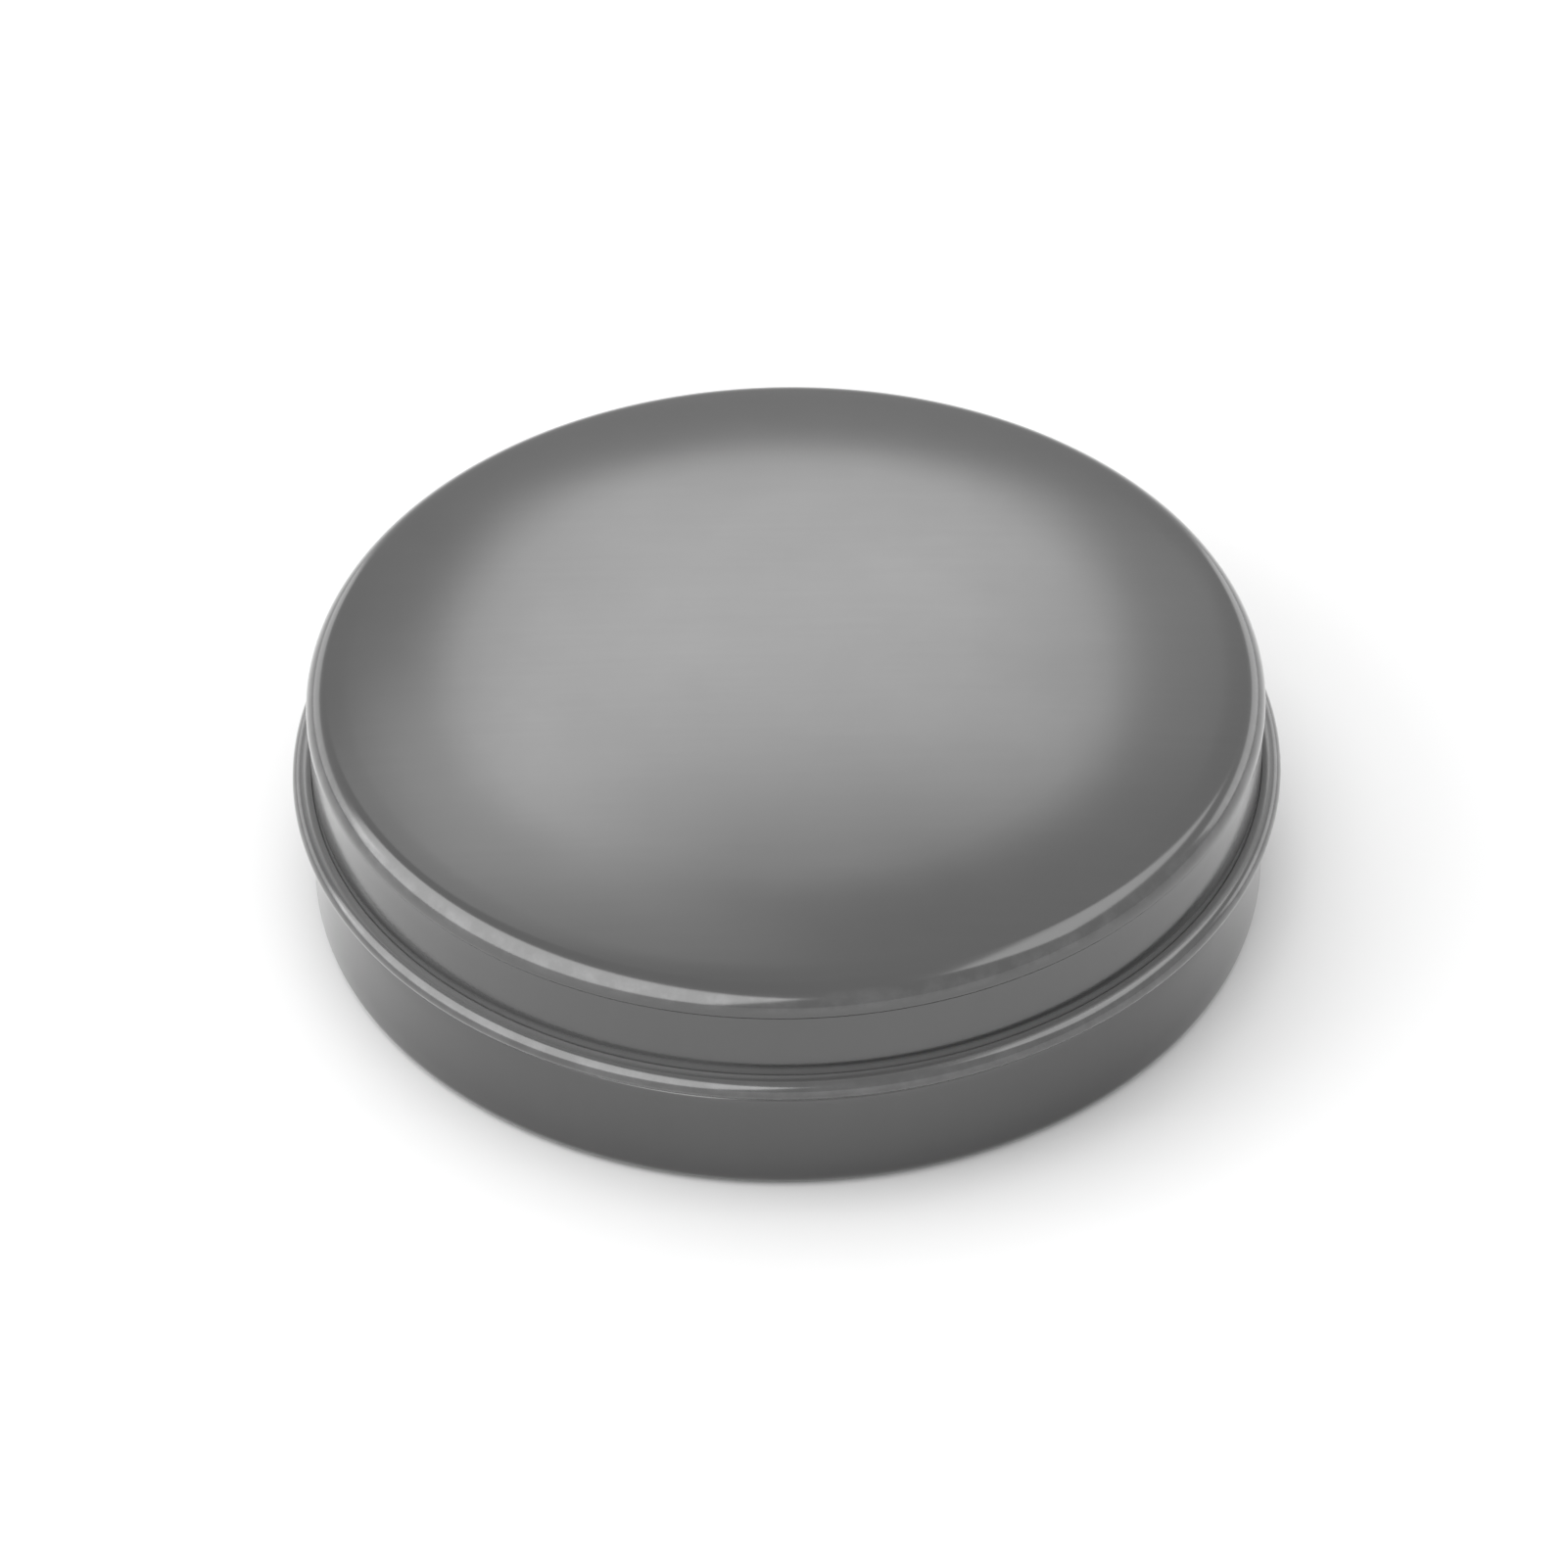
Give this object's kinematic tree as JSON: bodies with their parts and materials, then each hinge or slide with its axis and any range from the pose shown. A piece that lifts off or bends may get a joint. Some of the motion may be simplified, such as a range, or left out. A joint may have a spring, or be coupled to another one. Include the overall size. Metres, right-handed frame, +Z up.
{
  "type": "rosin cake in a tin",
  "caption": "Cake of bow rosin in its cloth, kept in a shallow round metal slip-lid tin with a rolled hem.",
  "frame": {"origin": "centre of the standing ring under the tin, on the surface it stands on", "axes": "+Z up the tin's axis, through the middle of the lid; the piece is round, so +X and +Y are any two level directions"},
  "size_m": [0.0682, 0.0682, 0.0183],
  "materials": {
    "base_metal": "satin lacquered tinplate",
    "lid_metal": "satin lacquered tinplate",
    "liner_board": "paper-faced pulpboard",
    "felt": "pressed felt",
    "rosin": "glossy translucent amber",
    "cloth": "short-pile velvet"
  },
  "bodies": {
    "base": {"tin_base": "base_metal", "base_pad": "felt"},
    "liner": {"lid_liner": "liner_board"},
    "lid": {"tin_lid": "lid_metal"},
    "cake": {"rosin_cake": "rosin", "cake_cloth": "cloth"}
  },
  "joints": [
    {"name": "lid_lift", "type": "slide", "parent": "base", "child": "liner", "axis": [0, 0, 1], "range_m": [0, 0.045]},
    {"name": "lid_turn", "type": "hinge", "parent": "liner", "child": "lid", "pos_m": [0, 0, 0.012], "axis": [0, 0, 1], "continuous": true},
    {"name": "cake_turn", "type": "hinge", "parent": "base", "child": "cake", "pos_m": [0, 0, 0.008], "axis": [0, 0, 1], "continuous": true}
  ]
}
